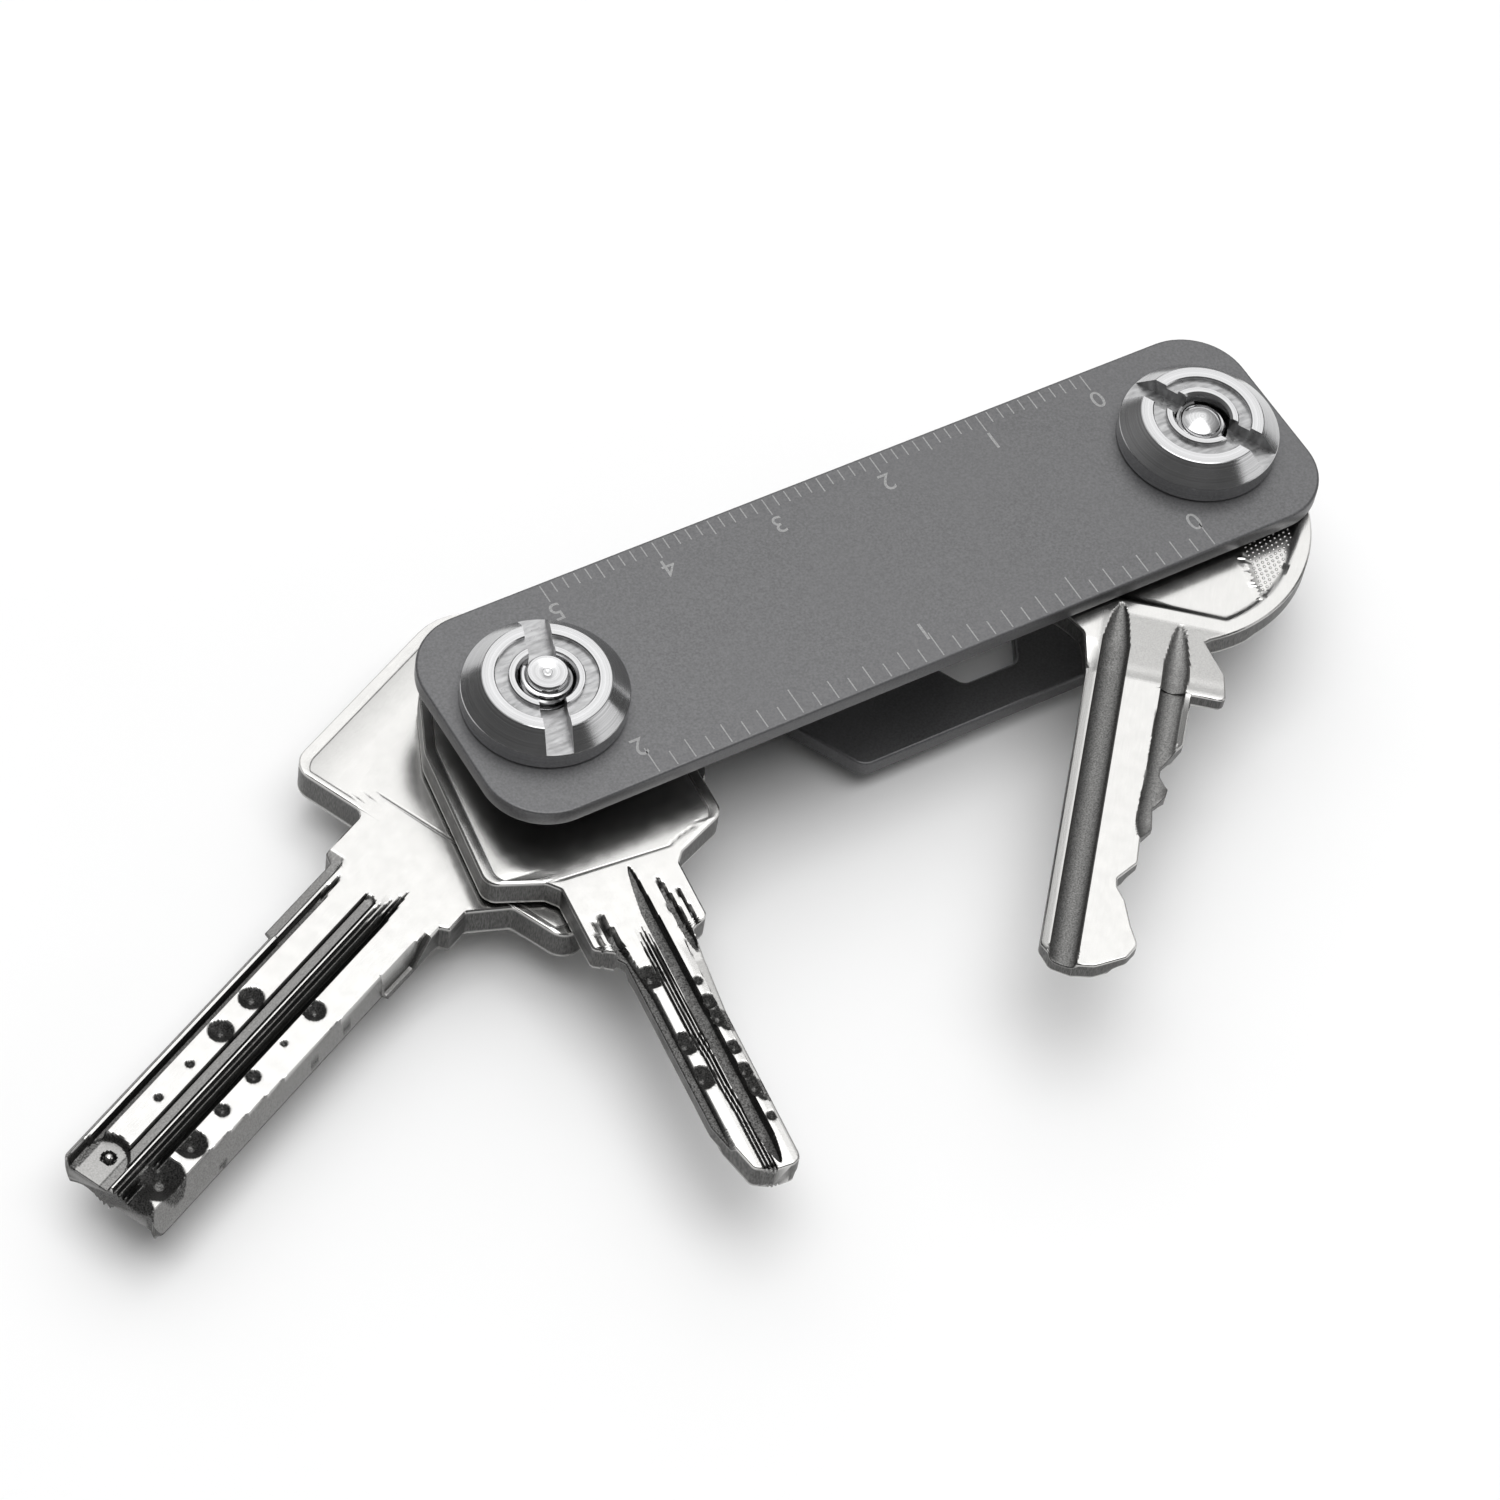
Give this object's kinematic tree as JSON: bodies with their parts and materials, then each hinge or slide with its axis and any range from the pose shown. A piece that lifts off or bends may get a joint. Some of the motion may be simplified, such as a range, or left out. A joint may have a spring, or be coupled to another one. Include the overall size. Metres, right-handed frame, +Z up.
{
  "type": "key organiser",
  "caption": "Flat key organiser: a ruled top plate and a notched bottom plate on threaded posts with coin-slot nuts, a key-ring window, and fold-out keys between the plates.",
  "frame": {"origin": "centre of the left post's round foot, on its flat underside, where the part stands on a table", "axes": "+X from the left post to the right post along the plates, +Y to the long edge with the centimetre scale, +Z up through the posts from the feet to the nuts"},
  "size_m": [0.1154, 0.057, 0.0179],
  "materials": {
    "plate": null,
    "turned_steel": "bright turned stainless steel",
    "nickel_silver": "polished nickel silver with milled grooves, slightly worn",
    "washer": "black nylon"
  },
  "bodies": {
    "chassis": {"bottom_plate": "plate", "top_plate": "plate", "left_post": "turned_steel", "right_post": "turned_steel", "left_spacer": "turned_steel", "right_lower_spacer": "turned_steel", "right_upper_spacer": "turned_steel", "left_washer_1": "washer", "left_washer_2": "washer", "left_washer_3": "washer", "left_washer_4": "washer", "right_washer_1": "washer", "right_washer_2": "washer", "right_washer_3": "washer", "right_washer_4": "washer"},
    "large_key": {"large_dimple_key": "nickel_silver"},
    "small_key": {"small_dimple_key": "nickel_silver"},
    "house_key": {"cylinder_key": "nickel_silver"},
    "nut_on_left": {"left_nut": "turned_steel"},
    "nut_on_right": {"right_nut": "turned_steel"}
  },
  "joints": [
    {"name": "large_key_swing", "type": "hinge", "parent": "chassis", "child": "large_key", "pos_m": [0, 0, 0.0054], "axis": [0, 0, 1], "range_deg": [-205.2, 154.8]},
    {"name": "small_key_swing", "type": "hinge", "parent": "chassis", "child": "small_key", "pos_m": [0, 0, 0.0086], "axis": [0, 0, 1], "range_deg": [-264.2, 95.8]},
    {"name": "cylinder_key_swing", "type": "hinge", "parent": "chassis", "child": "house_key", "pos_m": [0.06, 0, 0.01135], "axis": [0, 0, 1], "range_deg": [-49.5, 310.5]},
    {"name": "left_nut_turn", "type": "hinge", "parent": "chassis", "child": "nut_on_left", "pos_m": [0, 0, 0.0158], "axis": [0, 0, 1], "range_deg": [0, 180]},
    {"name": "right_nut_turn", "type": "hinge", "parent": "chassis", "child": "nut_on_right", "pos_m": [0.06, 0, 0.0158], "axis": [0, 0, 1], "range_deg": [0, 180]}
  ]
}
